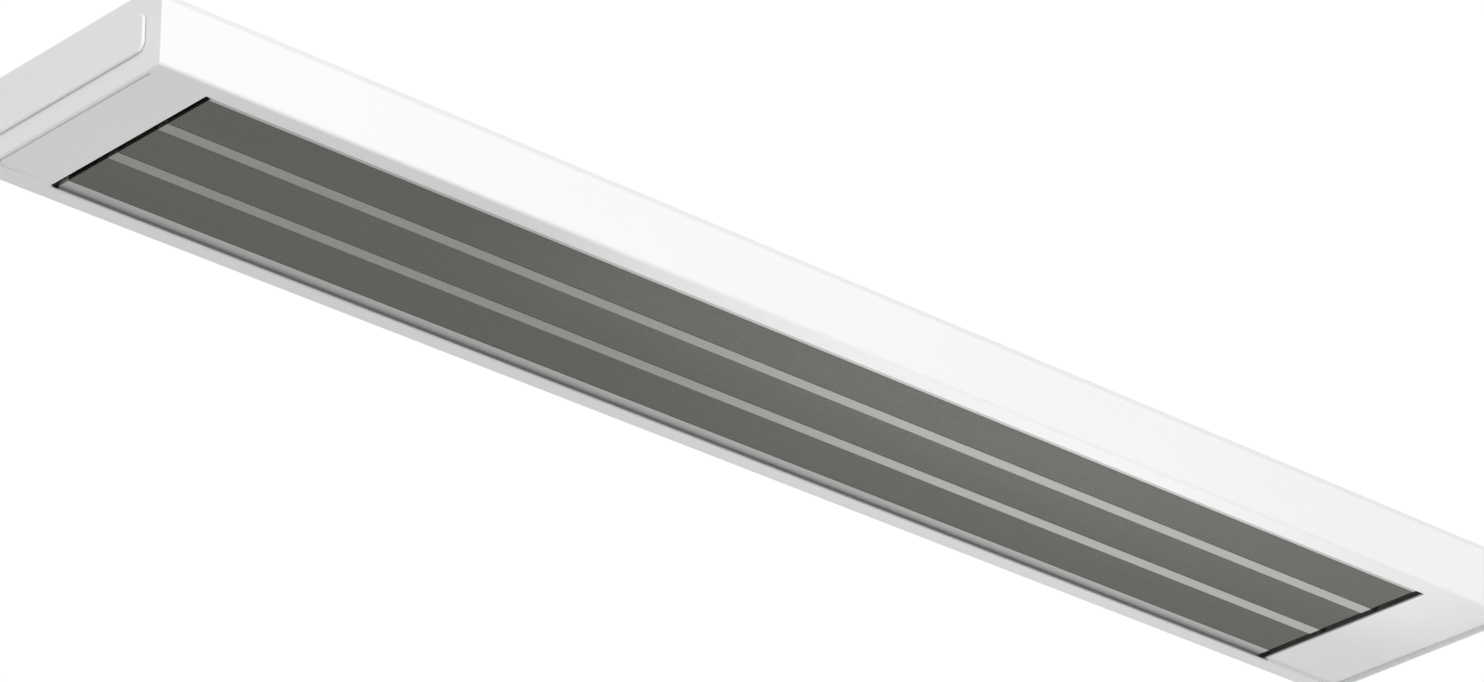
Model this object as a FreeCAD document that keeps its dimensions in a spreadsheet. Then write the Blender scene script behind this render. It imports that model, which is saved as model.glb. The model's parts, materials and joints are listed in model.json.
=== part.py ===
import FreeCAD, Part
import math
import os
import Sketcher
from types import SimpleNamespace

# Radiant strip heater for a ceiling.
# A folded casing hangs from two brackets that slide on a rail along its back. Below, between the
# in-turned rims, an extruded radiant panel hangs on four straps and carries a tubular element.
# X runs along the heater towards its connection end, Z is up, and the origin is the middle of the
# ceiling plane. Lengths are millimetres.

SIZES = {
    # Casing: one folded sheet, open below between its rims
    "casing_length": 996,
    "casing_width": 150,
    "casing_height": 46.5,
    "casing_sheet": 1,
    "bend_radius": 2,
    "rim_width": 11.3,
    "top_chamfer": 10,
    # End walls: rounded lip outside the casing, tongue inside it, window behind the cover
    "end_lip": 2,
    "end_round": 1,
    "end_tongue": 12,
    "end_sheet": 1.2,
    "window_width": 96,
    "window_height": 13,
    "window_corner": 2,
    "screw_spread": 80,
    "screw_shank": 3.5,
    "screw_head": 7.6,
    "screw_head_height": 2.2,
    # End covers
    "cover_border": 12.5,
    "cover_gap": 0.5,
    "cover_corner": 5,
    "cover_sheet": 1.5,
    "cover_edge": 0.8,
    "collar_reach": 5,
    # Front plates at the two ends of the opening
    "left_plate_length": 37.4,
    "right_plate_length": 61.1,
    "plate_recess": 2,
    "plate_gap": 3.4,
    "front_sheet": 1,
    "plate_corner": 1.5,
    # Radiant panel: fields between lands, ledges for the straps, channels for the element
    "expansion_gap": 5,
    "panel_recess": 3.3,
    "panel_overlap": 2.3,
    "edge_rib": 1.5,
    "panel_sheet": 2.2,
    "land_width": 7.9,
    "field_depth": 0.3,
    "ledge_inset": 5,
    "ledge_reach": 3.6,
    "ledge_height": 7.8,
    "ledge_sheet": 1.5,
    "channel_wall": 1.6,
    "channel_floor": 0.6,
    "channel_lip": 3.2,
    "channel_mouth": 7,
    # Heating element
    "tube_diameter": 8.5,
    "bend_margin": 3,
    "tube_out": 9,
    "bush_length": 6,
    "pin_diameter": 3,
    "pin_out": 4,
    # Straps, reflector and mat above the panel
    "hanger_sheet": 1.2,
    "hanger_width": 22,
    "hanger_inset": 80,
    "hanger_hook": 3,
    "reflector_sheet": 0.6,
    "reflector_rise": 7.5,
    # Partitions at the two ends of the hot space
    "baffle_setback": 3,
    "baffle_sheet": 1,
    "baffle_foot": 8,
    # Connection space
    "block_depth": 16,
    "block_height": 14,
    "block_clear": 3.2,
    "block_corner": 2,
    "entry_depth": 8,
    "entry_row": 8,
    "entry_sill": 3,
    "block_screw": 3.2,
    "block_screw_head": 6,
    "block_screw_head_height": 2,
    "lead_diameter": 3.4,
    "lead_bend": 6,
    "lead_start": 2,
    "lead_grip": 5,
    "stud_diameter": 4,
    "stud_length": 10,
    "nut_flats": 7,
    "nut_height": 3.2,
    "lug_sheet": 1,
    "lug_ring": 8.4,
    "barrel_diameter": 4.4,
    "barrel_length": 7,
    # Cable entry in the back
    "entry_hole": 20,
    "cable_bore": 10,
    "grommet_lip": 3,
    "grommet_flange": 3,
    "entry_inset": 30,
    # Suspension rail: a top-hat section on the back
    "rail_inset": 118,
    "rail_width": 35,
    "rail_base": 25,
    "rail_height": 7.5,
    "rail_sheet": 1,
    "rail_bend": 0.8,
    # Ceiling brackets
    "bracket_inset": 198,
    "bracket_length": 72,
    "bracket_width": 76,
    "bracket_sheet": 2,
    "bracket_corner": 5,
    "bracket_clear": 0.5,
    "bracket_hole": 5.5,
    "bracket_hole_pitch": 54,
    "hook_offset": 22,
    "hook_width": 16,
    "hook_grip": 4,
    "tab_width": 14,
    "lock_diameter": 3,
    "lock_head": 5.6,
    "lock_head_height": 2.4,
    "lock_drop": 2.7,
    # Clearances
    "fit_gap": 0.2,
    "slide_gap": 0.3,
}
HANGERS = 4
MITRE = math.tan(math.pi / 8)  # how far a 45 degree bend moves its corner for each unit of inset
TINY = 1e-5

Vector = FreeCAD.Vector
doc = FreeCAD.newDocument("radiant_strip_heater")
sheet = doc.addObject("Spreadsheet::Sheet", "Sizes")
pieces = []


class Size:
    """A length and its formula on the sheet: the number places geometry, the formula keeps it live."""

    def __init__(self, value, formula=None):
        self.value = value
        self.formula = formula or repr(value)

    def join(self, other, sign, value):
        return Size(value, f"({self.formula} {sign} {other.formula})")

    def __add__(self, other):
        other = as_size(other)
        return self.join(other, "+", self.value + other.value)

    def __sub__(self, other):
        other = as_size(other)
        return self.join(other, "-", self.value - other.value)

    def __mul__(self, other):
        other = as_size(other)
        return self.join(other, "*", self.value * other.value)

    def __truediv__(self, other):
        other = as_size(other)
        return self.join(other, "/", self.value / other.value)

    def __neg__(self):
        return self * -1

    __radd__ = __add__
    __rmul__ = __mul__


def as_size(number):
    return number if isinstance(number, Size) else Size(number)


for row, (alias, length) in enumerate(SIZES.items(), 1):
    sheet.set(f"A{row}", alias.replace("_", " "))
    sheet.set(f"B{row}", str(length))
    sheet.setAlias(f"B{row}", alias)
doc.recompute()
s = SimpleNamespace(**{alias: Size(length, f"Sizes.{alias}") for alias, length in SIZES.items()})


def bind(thing, prop, length):
    thing.setExpression(prop, as_size(length).formula)


def new_body(name):
    body = doc.addObject("PartDesign::Body", name)
    body.Label = name
    pieces.append(body)
    return body


def place(thing, x=0, y=0, z=0, rotation=FreeCAD.Rotation()):
    thing.Placement = FreeCAD.Placement(Vector(), rotation)
    for axis, length in zip("xyz", (x, y, z)):
        bind(thing, f"Placement.Base.{axis}", length)


HALF_TURN = FreeCAD.Rotation(Vector(0, 0, 1), 180)
ALONG_X = FreeCAD.Rotation(Vector(0, 1, 0), 90)
ALONG_Y = FreeCAD.Rotation(Vector(1, 0, 0), -90)


# Sketches and features

def hold(sketch, kind, geometry, point, length):
    """Ties one distance of a sketch point, or a circle's radius, to a formula."""
    if kind == "Radius":
        rule = Sketcher.Constraint(kind, geometry, length.value)
    else:
        rule = Sketcher.Constraint(kind, -1, 1, geometry, point, length.value)
    index = sketch.addConstraint(rule)
    name = f"{kind}_{geometry}"
    sketch.renameConstraint(index, name)
    bind(sketch, f"Constraints.{name}", length)


def draw(body, plane, loops, level):
    """A sketch of closed loops. A loop is a list of corners, or a centre and a radius for a circle."""
    support = next(item for item in body.Origin.OriginFeatures if item.Role == plane)
    sketch = body.newObject("Sketcher::SketchObject", f"{body.Name}_sketch")
    sketch.AttachmentSupport = [(support, "")]
    sketch.MapMode = "FlatFace"
    bind(sketch, "AttachmentOffset.Base.z", -level if plane == "XZ_Plane" else level)
    for loop in loops:
        first = sketch.GeometryCount
        if isinstance(loop, SimpleNamespace):
            x, y = as_size(loop.x), as_size(loop.y)
            centre = Vector(x.value, y.value, 0)
            sketch.addGeometry(Part.Circle(centre, Vector(0, 0, 1), loop.radius.value))
            hold(sketch, "DistanceX", first, 3, x)
            hold(sketch, "DistanceY", first, 3, y)
            hold(sketch, "Radius", first, 3, loop.radius)
            continue
        corners = [(as_size(corner[0]), as_size(corner[1])) for corner in loop]
        spots = [Vector(x.value, y.value, 0) for x, y in corners]
        for here, there in zip(spots, spots[1:] + spots[:1]):
            sketch.addGeometry(Part.LineSegment(here, there))
        for step, (x, y) in enumerate(corners):
            before = first + (step - 1) % len(corners)
            sketch.addConstraint(Sketcher.Constraint("Coincident", before, 2, first + step, 1))
            hold(sketch, "DistanceX", first + step, 1, x)
            hold(sketch, "DistanceY", first + step, 1, y)
    doc.recompute()
    return sketch


def round_edges(body, radius, chosen):
    """Rounds the edges of the body's last shape for which chosen(edge) is true."""
    doc.recompute()
    base = body.Tip
    names = [f"Edge{n}" for n, edge in enumerate(base.Shape.Edges, 1) if chosen(edge)]
    fillet = body.newObject("PartDesign::Fillet", f"{body.Name}_round")
    fillet.Base = (base, names)
    bind(fillet, "Radius", radius)
    doc.recompute()


def extrude(body, plane, loops, start, end, cut=False):
    """Pads or pockets the loops from start to end along the plane's axis, then rounds marked corners."""
    start, end = as_size(start), as_size(end)
    sketch = draw(body, plane, loops, (start + end) / 2)
    kind = "PartDesign::Pocket" if cut else "PartDesign::Pad"
    feature = body.newObject(kind, f"{body.Name}_{'cut' if cut else 'pad'}")
    feature.Profile = sketch
    feature.SideType = "Symmetric"
    bind(feature, "Length", end - start)
    doc.recompute()
    axis = sketch.Placement.Rotation.multVec(Vector(0, 0, 1))
    marked = {}
    for loop in loops:
        if isinstance(loop, list):
            for corner in loop:
                if len(corner) == 3:
                    flat = Vector(as_size(corner[0]).value, as_size(corner[1]).value, 0)
                    spot = sketch.Placement.multVec(flat)
                    marked.setdefault(corner[2].formula, (corner[2], []))[1].append(spot)
    for radius, spots in marked.values():
        round_edges(body, radius, lambda edge: runs_through(edge, spots, axis))
    return feature


def runs_through(edge, spots, axis):
    """True for a straight edge parallel to axis, on a line through one of the spots."""
    if edge.Degenerated or not isinstance(edge.Curve, Part.Line):
        return False
    if edge.Curve.Direction.cross(axis).Length > TINY:
        return False
    start = edge.Vertexes[0].Point
    return any((start - spot).cross(axis).Length < TINY for spot in spots)


def circle(x, y, diameter):
    return SimpleNamespace(x=x, y=y, radius=diameter / 2)


def rectangle(left, right, low, high, corner=None):
    mark = (corner,) if corner else ()
    return [(left, low) + mark, (right, low) + mark, (right, high) + mark, (left, high) + mark]


def both_sides(half):
    """A closed outline from its right half, mirrored about the middle."""
    return half + [(-corner[0],) + corner[1:] for corner in reversed(half)]


def mirrored(loop):
    return [(-corner[0],) + corner[1:] for corner in reversed(loop)]


def rod(name, diameter, length, x, y, z, rotation=FreeCAD.Rotation()):
    """A cylinder whose axis starts at a point and runs along Z turned by rotation."""
    cylinder = doc.addObject("Part::Cylinder", name)
    bind(cylinder, "Radius", diameter / 2)
    bind(cylinder, "Height", length)
    place(cylinder, x, y, z, rotation)
    return cylinder


def bend(name, radius, diameter, angle, x, y, z, rotation):
    """Part of a torus: a bend of a round wire or tube."""
    torus = doc.addObject("Part::Torus", name)
    bind(torus, "Radius1", radius)
    bind(torus, "Radius2", diameter / 2)
    torus.Angle3 = angle
    place(torus, x, y, z, rotation)
    return torus


def join(name, shapes):
    """One solid from touching shapes."""
    fused = doc.addObject("Part::MultiFuse", name)
    fused.Shapes = shapes
    fused.Refine = True
    return fused


def group(name, shapes):
    """Separate solids under one name."""
    compound = doc.addObject("Part::Compound", name)
    compound.Links = shapes
    return finish(name, compound)


def finish(name, thing):
    thing.Label = name
    pieces.append(thing)
    return thing


# Levels and stations that several pieces share

half_width = s.casing_width / 2
half_length = s.casing_length / 2
shell_end = half_length - s.end_lip
top = -(s.rail_height + s.bracket_clear + s.bracket_sheet)
roof = top - s.casing_sheet
bottom = top - s.casing_height
middle = bottom + s.casing_height / 2
rim_top = bottom + s.casing_sheet
plate_floor = bottom + s.plate_recess
plate_top = plate_floor + s.front_sheet

opening_left = -shell_end + s.left_plate_length
opening_right = shell_end - s.right_plate_length
panel_left = opening_left + s.expansion_gap
panel_right = opening_right - s.expansion_gap
panel_half = half_width - s.rim_width + s.panel_overlap
panel_face = bottom + s.panel_recess
panel_back = panel_face + s.panel_sheet
field_width = ((panel_half - s.edge_rib) * 2 - s.land_width * 4) / 3
field_pitch = field_width + s.land_width
leg_side = field_pitch / 2
ledge_tip = panel_half - s.ledge_inset
ledge_web = ledge_tip - s.ledge_reach
ledge_top = panel_back + s.ledge_height
ledge_under = ledge_top - s.ledge_sheet
tube_level = panel_back + s.channel_floor + s.tube_diameter / 2
tube_bend = panel_left + leg_side + s.tube_diameter / 2 + s.bend_margin

left_baffle_at = opening_left - s.baffle_setback
bulkhead_at = opening_right + s.baffle_setback
bulkhead_face = bulkhead_at + s.baffle_sheet
tube_end = bulkhead_face + s.tube_out
pin_end = tube_end + s.bush_length + s.pin_out
block_low = roof - s.block_clear - s.block_height
entry_level = block_low + s.entry_sill
block_front = bulkhead_face + s.block_depth
stud_level = tube_level + (s.barrel_diameter + s.nut_flats) / 2 + s.fit_gap
lead_turn = pin_end + s.lead_start
entry_x = (bulkhead_face + shell_end - s.end_tongue) / 2
entry_y = s.entry_inset - half_width
end_screw_at = shell_end - s.end_tongue / 2

rail_end = half_length - s.rail_inset
bracket_at = half_length - s.bracket_inset
rail_flange = top + s.rail_height
hook_inner = s.rail_width / 2 + s.slide_gap
hook_outer = hook_inner + s.bracket_sheet
hook_top = rail_flange - s.rail_sheet - s.fit_gap
lock_level = rail_flange - s.rail_sheet - s.lock_drop
screw_hole = s.screw_shank + s.fit_gap * 2


def section(inset, floor, radius=None):
    """The casing's closed cross-section, moved inwards by inset, down to the floor level."""
    mark = (radius,) if radius else ()
    wall = half_width - inset
    knee = top - s.top_chamfer - inset * MITRE
    shoulder = half_width - s.top_chamfer - inset * MITRE
    return both_sides([(wall, floor), (wall, knee) + mark, (shoulder, top - inset) + mark])


# Casing, end walls, covers and front plates

def casing_shell():
    outer = s.bend_radius
    inner = s.bend_radius - s.casing_sheet
    lip = half_width - s.rim_width
    wall = half_width - s.casing_sheet
    lean = s.casing_sheet * MITRE
    knee = top - s.top_chamfer
    shoulder = half_width - s.top_chamfer
    half = [
        (shoulder - lean, roof, inner),
        (wall, knee - lean, inner),
        (wall, rim_top, inner),
        (lip, rim_top),
        (lip, bottom),
        (half_width, bottom, outer),
        (half_width, knee, outer),
        (shoulder, top, outer),
    ]
    body = new_body("casing_shell")
    extrude(body, "YZ_Plane", [both_sides(half)], -shell_end, shell_end)
    holes = [circle(entry_x, entry_y, s.entry_hole)]
    for x in (-end_screw_at, end_screw_at):
        for y in (-s.screw_spread / 2, s.screw_spread / 2):
            holes.append(circle(x, y, screw_hole))
    extrude(body, "XY_Plane", holes, roof, top, cut=True)


def end_wall(name, rotation):
    body = new_body(name)
    corner = s.bend_radius
    lip = section(0, bottom, corner)
    lip[0] += (corner,)
    lip[-1] += (corner,)
    extrude(body, "YZ_Plane", [lip], shell_end, half_length)
    round_edges(
        body,
        s.end_round,
        lambda edge: all(abs(v.X - half_length.value) < TINY for v in edge.Vertexes),
    )
    slip = s.casing_sheet + s.fit_gap
    tongue_floor = plate_top + s.fit_gap
    tongue_start = shell_end - s.end_tongue
    tongue = section(slip, tongue_floor, s.bend_radius - slip)
    extrude(body, "YZ_Plane", [tongue], tongue_start, shell_end)
    hollow = section(slip + s.end_sheet, tongue_floor + s.end_sheet)
    extrude(body, "YZ_Plane", [hollow], tongue_start, half_length - s.end_sheet, cut=True)
    wide, tall = s.window_width / 2, s.window_height / 2
    window = rectangle(-wide, wide, middle - tall, middle + tall, s.window_corner)
    extrude(body, "YZ_Plane", [window], shell_end, half_length, cut=True)
    holes = [circle(end_screw_at, y, screw_hole) for y in (-s.screw_spread / 2, s.screw_spread / 2)]
    extrude(body, "XY_Plane", holes, top - slip - s.end_sheet, top - slip, cut=True)
    place(body, rotation=rotation)


def end_cover(name, rotation):
    body = new_body(name)
    wide = half_width - s.cover_border
    tall = s.casing_height / 2 - s.cover_border
    skin = half_length + s.cover_gap
    face = skin + s.cover_sheet
    block = rectangle(-wide, wide, middle - tall, middle + tall, s.cover_corner)
    extrude(body, "YZ_Plane", [block], skin, face)
    round_edges(body, s.cover_edge, lambda edge: all(abs(v.X - face.value) < TINY for v in edge.Vertexes))
    collar_wide = s.window_width / 2 - s.slide_gap
    collar_tall = s.window_height / 2 - s.slide_gap
    collar_end = half_length - s.end_sheet - s.collar_reach
    collar = rectangle(
        -collar_wide, collar_wide, middle - collar_tall, middle + collar_tall, s.window_corner
    )
    extrude(body, "YZ_Plane", [collar], collar_end, skin)
    bore_wide, bore_tall = collar_wide - s.cover_sheet, collar_tall - s.cover_sheet
    bore = rectangle(-bore_wide, bore_wide, middle - bore_tall, middle + bore_tall)
    extrude(body, "YZ_Plane", [bore], collar_end, skin, cut=True)
    place(body, rotation=rotation)


def front_plate(name, start, end):
    """A plate whose long edges are folded under, so that they are thicker where they lie on the rims."""
    body = new_body(name)
    side = half_width - s.bend_radius - s.fit_gap
    extrude(body, "XY_Plane", [rectangle(start, end, -side, side, s.plate_corner)], plate_floor, plate_top)
    lip = half_width - s.rim_width
    folds = [
        rectangle(start + s.plate_corner, end, -side, -lip),
        rectangle(start + s.plate_corner, end, lip, side),
    ]
    extrude(body, "XY_Plane", folds, rim_top, plate_floor)


def end_wall_screws():
    slip = s.casing_sheet + s.fit_gap + s.end_sheet
    screws = []
    for x in (-end_screw_at, end_screw_at):
        for y in (-s.screw_spread / 2, s.screw_spread / 2):
            shank = rod("end_screw_shank", s.screw_shank, slip + s.screw_head_height / 2, x, y, top - slip)
            head = doc.addObject("Part::Cone", "end_screw_head")
            bind(head, "Radius1", s.screw_head / 2)
            bind(head, "Radius2", s.screw_head / 2 - s.screw_head_height / 2)
            bind(head, "Height", s.screw_head_height)
            place(head, x, y, top)
            screws.append(join("end_screw", [shank, head]))
    group("end_wall_screws", screws)


# Radiant panel and its element

def radiant_panel():
    body = new_body("radiant_panel")
    base = rectangle(-panel_half, panel_half, panel_face, panel_back)
    extrude(body, "YZ_Plane", [base], panel_left, panel_right)
    rib = rectangle(panel_half - s.edge_rib, panel_half, rim_top + s.slide_gap, panel_face)
    extrude(body, "YZ_Plane", [rib, mirrored(rib)], panel_left, panel_right)
    web = [
        (ledge_web - s.ledge_sheet, panel_back),
        (ledge_web, panel_back),
        (ledge_web, ledge_under),
        (ledge_tip, ledge_under),
        (ledge_tip, ledge_top),
        (ledge_web - s.ledge_sheet, ledge_top),
    ]
    extrude(body, "YZ_Plane", [web, mirrored(web)], panel_left, panel_right)
    channel_half = s.tube_diameter / 2 + s.channel_wall
    channel_top = tube_level + s.channel_lip
    bore = s.tube_diameter + s.fit_gap
    sides = (-leg_side, leg_side)
    blocks = [rectangle(y - channel_half, y + channel_half, panel_back, channel_top) for y in sides]
    extrude(body, "YZ_Plane", blocks, tube_bend, panel_right)
    bores = [circle(y, tube_level, bore) for y in sides]
    extrude(body, "YZ_Plane", bores, tube_bend, panel_right, cut=True)
    mouth = s.channel_mouth / 2
    slots = [rectangle(y - mouth, y + mouth, tube_level, channel_top) for y in sides]
    extrude(body, "YZ_Plane", slots, tube_bend, panel_right, cut=True)
    fields = []
    for place_across in (-1, 0, 1):
        centre = field_pitch * place_across
        fields.append(
            rectangle(
                centre - field_width / 2,
                centre + field_width / 2,
                panel_face,
                panel_face + s.field_depth,
            )
        )
    extrude(body, "YZ_Plane", fields, panel_left, panel_right, cut=True)


def heating_element():
    name = "heating_element"
    leg = tube_end - tube_bend
    legs = [
        rod("element_leg", s.tube_diameter, leg, tube_bend, y, tube_level, ALONG_X)
        for y in (-leg_side, leg_side)
    ]
    quarter = FreeCAD.Rotation(Vector(0, 0, 1), 90)
    hairpin = bend("element_bend", leg_side, s.tube_diameter, 180, tube_bend, 0, tube_level, quarter)
    finish(name, join(name, legs + [hairpin]))


def element_ends():
    bushes = []
    pins = []
    for y in (-leg_side, leg_side):
        bush = rod("bush_body", s.tube_diameter, s.bush_length, tube_end, y, tube_level, ALONG_X)
        bore = rod("bush_bore", s.pin_diameter, s.bush_length, tube_end, y, tube_level, ALONG_X)
        ring = doc.addObject("Part::Cut", "bush")
        ring.Base = bush
        ring.Tool = bore
        bushes.append(ring)
        pins.append(rod("pin", s.pin_diameter, pin_end - tube_end, tube_end, y, tube_level, ALONG_X))
    group("element_bushes", bushes)
    group("element_pins", pins)


# Straps, reflector and mat over the panel

def panel_hanger(number):
    inner = ledge_tip + s.fit_gap * 2
    outer = inner + s.hanger_sheet
    hook = ledge_under - s.fit_gap
    tip = ledge_tip - s.hanger_hook
    half = [
        (inner, roof - s.hanger_sheet),
        (inner, hook),
        (tip, hook),
        (tip, hook - s.hanger_sheet),
        (outer, hook - s.hanger_sheet, s.hanger_sheet),
        (outer, roof, s.hanger_sheet),
    ]
    first = panel_left + s.hanger_inset
    step = (panel_right - s.hanger_inset - first) / (HANGERS - 1)
    centre = first + step * number
    body = new_body(f"panel_hanger_{number + 1}")
    start = centre - s.hanger_width / 2
    extrude(body, "YZ_Plane", [both_sides(half)], start, start + s.hanger_width)


reflector_top = ledge_top + s.reflector_rise


def reflector_sheet():
    inner = ledge_web - s.ledge_sheet
    outer = inner + s.reflector_sheet
    foot = ledge_tip - s.reflector_sheet
    half = [
        (inner, reflector_top - s.reflector_sheet),
        (inner, ledge_top),
        (foot, ledge_top),
        (foot, ledge_top + s.reflector_sheet),
        (outer, ledge_top + s.reflector_sheet),
        (outer, reflector_top),
    ]
    body = new_body("reflector_sheet")
    extrude(body, "YZ_Plane", [both_sides(half)], panel_left, panel_right)


def insulation_mat():
    side = ledge_web - s.ledge_sheet
    high = roof - s.hanger_sheet - s.slide_gap
    body = new_body("insulation_mat")
    extrude(body, "YZ_Plane", [rectangle(-side, side, reflector_top, high)], panel_left, panel_right)


def partition(name, at, outwards):
    """A steel partition across the casing, with a foot on the front plate and the element's holes."""
    body = new_body(name)
    outline = section(s.casing_sheet + s.fit_gap, plate_top)
    extrude(body, "YZ_Plane", [outline], at, at + s.baffle_sheet)
    side = half_width - s.bend_radius - s.fit_gap
    foot = rectangle(-side, side, plate_top, plate_top + s.baffle_sheet)
    if outwards > 0:
        extrude(body, "YZ_Plane", [foot], at, at + s.baffle_foot)
    else:
        extrude(body, "YZ_Plane", [foot], at + s.baffle_sheet - s.baffle_foot, at + s.baffle_sheet)
    return body


def left_baffle():
    partition("left_baffle", left_baffle_at - s.baffle_sheet, -1)


def right_bulkhead():
    body = partition("right_bulkhead", bulkhead_at, 1)
    bore = s.tube_diameter + s.fit_gap * 2
    holes = [circle(y, tube_level, bore) for y in (-leg_side, leg_side)]
    screw_level = block_low + s.block_height / 2
    for y in (-leg_side / 2, leg_side / 2):
        holes.append(circle(y, screw_level, s.block_screw + s.fit_gap))
    extrude(body, "YZ_Plane", holes, bulkhead_at, bulkhead_face, cut=True)


# Connection space

def terminal_block():
    body = new_body("terminal_block")
    side = leg_side * 1.5
    high = block_low + s.block_height
    outline = rectangle(-side, side, block_low, high, s.block_corner)
    extrude(body, "YZ_Plane", [outline], bulkhead_face, block_front)
    bore = s.lead_diameter + s.fit_gap
    poles = (-leg_side, as_size(0), leg_side)
    entries = [circle(y, level, bore) for y in poles for level in (entry_level, entry_level + s.entry_row)]
    extrude(body, "YZ_Plane", entries, block_front - s.entry_depth, block_front, cut=True)
    screw_level = block_low + s.block_height / 2
    holes = [circle(y, screw_level, s.block_screw + s.fit_gap) for y in (-leg_side / 2, leg_side / 2)]
    extrude(body, "YZ_Plane", holes, bulkhead_face, block_front, cut=True)


def terminal_block_screws():
    screw_level = block_low + s.block_height / 2
    screws = []
    for y in (-leg_side / 2, leg_side / 2):
        long = block_front - bulkhead_at
        shank = rod("block_screw_shank", s.block_screw, long, bulkhead_at, y, screw_level, ALONG_X)
        head = rod(
            "block_screw_head",
            s.block_screw_head,
            s.block_screw_head_height,
            block_front,
            y,
            screw_level,
            ALONG_X,
        )
        screws.append(join("block_screw", [shank, head]))
    group("terminal_block_screws", screws)


def earth_set():
    stud = rod("earth_stud", s.stud_diameter, s.stud_length, bulkhead_face, 0, stud_level, ALONG_X)
    finish("earth_stud", stud)
    hole = s.stud_diameter + s.fit_gap
    lug = new_body("earth_lug")
    lug_front = bulkhead_face + s.lug_sheet
    extrude(lug, "YZ_Plane", [circle(0, stud_level, s.lug_ring)], bulkhead_face, lug_front)
    half_tab = s.barrel_diameter / 2
    tab = rectangle(-half_tab, half_tab, tube_level, stud_level)
    extrude(lug, "YZ_Plane", [tab], bulkhead_face, lug_front)
    barrel = circle(0, tube_level, s.barrel_diameter)
    extrude(lug, "YZ_Plane", [barrel], bulkhead_face, lug_front + s.barrel_length)
    extrude(lug, "YZ_Plane", [circle(0, stud_level, hole)], bulkhead_face, lug_front, cut=True)
    nut = new_body("earth_nut")
    corner = s.nut_flats / math.sqrt(3)
    flats = s.nut_flats / 2
    hexagon = [
        (corner, stud_level),
        (corner / 2, stud_level + flats),
        (-corner / 2, stud_level + flats),
        (-corner, stud_level),
        (-corner / 2, stud_level - flats),
        (corner / 2, stud_level - flats),
    ]
    extrude(nut, "YZ_Plane", [hexagon], lug_front, lug_front + s.nut_height)
    extrude(nut, "YZ_Plane", [circle(0, stud_level, hole)], lug_front, lug_front + s.nut_height, cut=True)


def lead(name, start, y):
    """A lead from the element or the earth lug, up in two bends and back into the terminal block."""
    low_turn = FreeCAD.Rotation(Vector(0, 0, -1), Vector(1, 0, 0), Vector(0, -1, 0), "ZXY")
    high_turn = FreeCAD.Rotation(Vector(1, 0, 0), 90)
    wire, radius = s.lead_diameter, s.lead_bend
    upright = lead_turn + radius
    grip = block_front - s.lead_grip
    shapes = [
        rod("lead_low", wire, lead_turn - start, start, y, tube_level, ALONG_X),
        bend("lead_low_bend", radius, wire, 90, lead_turn, y, tube_level + radius, low_turn),
        rod("lead_upright", wire, entry_level - tube_level - radius * 2, upright, y, tube_level + radius),
        bend("lead_high_bend", radius, wire, 90, lead_turn, y, entry_level - radius, high_turn),
        rod("lead_high", wire, lead_turn - grip, grip, y, entry_level, ALONG_X),
    ]
    finish(name, join(name, shapes))


def cable_grommet():
    """A rubber bush turned about its bore, with a groove that takes the edge of the casing's hole."""
    body = new_body("cable_grommet")
    bore = s.cable_bore / 2
    groove = s.entry_hole / 2 - s.fit_gap / 2
    flange = s.entry_hole / 2 + s.grommet_lip
    low = -s.casing_sheet - s.grommet_flange
    profile = [
        (bore, low),
        (flange, low),
        (flange, -s.casing_sheet),
        (groove, -s.casing_sheet),
        (groove, as_size(0)),
        (flange, as_size(0)),
        (bore + s.grommet_lip, s.grommet_flange),
        (bore, s.grommet_flange),
    ]
    sketch = draw(body, "XZ_Plane", [profile], as_size(0))
    turned = body.newObject("PartDesign::Revolution", "cable_grommet_turned")
    turned.Profile = sketch
    turned.ReferenceAxis = (sketch, ["V_Axis"])
    turned.Angle = 360
    place(body, entry_x, entry_y, top)


# Rail and ceiling brackets

def suspension_rail():
    inside = s.rail_base / 2 - s.rail_sheet
    outside = s.rail_base / 2
    tip = s.rail_width / 2
    outer_bend = s.rail_bend + s.rail_sheet
    half = [
        (inside, top + s.rail_sheet, s.rail_bend),
        (inside, rail_flange, outer_bend),
        (tip, rail_flange),
        (tip, rail_flange - s.rail_sheet),
        (outside, rail_flange - s.rail_sheet, s.rail_bend),
        (outside, top, outer_bend),
    ]
    body = new_body("suspension_rail")
    extrude(body, "YZ_Plane", [both_sides(half)], -rail_end, rail_end)


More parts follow.
